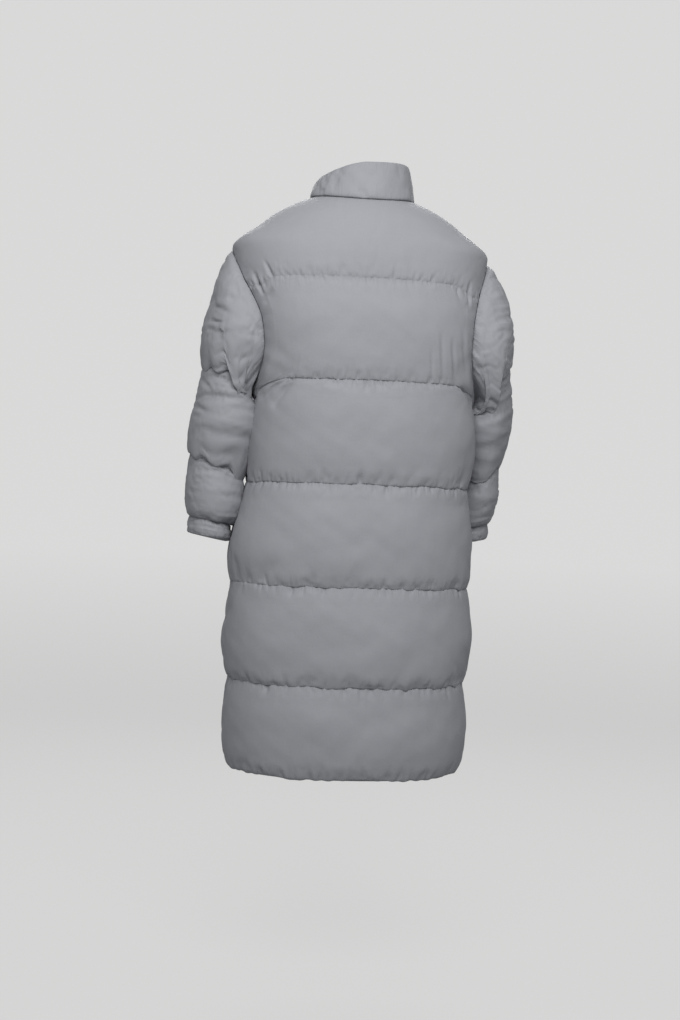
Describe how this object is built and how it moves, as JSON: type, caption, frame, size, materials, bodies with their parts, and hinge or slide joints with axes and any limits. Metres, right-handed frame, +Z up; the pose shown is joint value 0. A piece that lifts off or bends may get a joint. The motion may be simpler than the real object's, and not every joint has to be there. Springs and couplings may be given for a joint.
{
  "type": "long puffer coat",
  "caption": "Long padded coat in its worn form: channel-quilted back and fronts, quilted sleeves, tall stand collar and a full-length front zip with a hinged pull tab.",
  "frame": {"origin": "where the coat hangs on the wearer's shoulders, in the middle of the neck at shoulder height", "axes": "+Z up, the wearer faces -Y, the wearer's left is +X"},
  "size_m": [0.6852, 0.3903, 1.2441],
  "materials": {
    "shell": "matt woven nylon, grey",
    "zip_tape": "woven tape, dark grey",
    "zip_metal": "satin, dark grey"
  },
  "bodies": {
    "coat": {"back": "shell", "front_left": "shell", "front_right": "shell", "sleeve_left": "shell", "sleeve_right": "shell", "collar": "shell", "zip_tape_left": "zip_tape", "zip_tape_right": "zip_tape", "zip_slider": "zip_metal", "zip_stop_left": "zip_metal", "zip_stop_right": "zip_metal", "zip_box": "zip_metal"},
    "pull": {"zip_pull": "zip_metal"}
  },
  "joints": [
    {"name": "pull_hinge", "type": "hinge", "parent": "coat", "child": "pull", "pos_m": [0, -0.09641, 0.08822], "axis": [1, 0, 0], "range_deg": [-165, 0]}
  ]
}
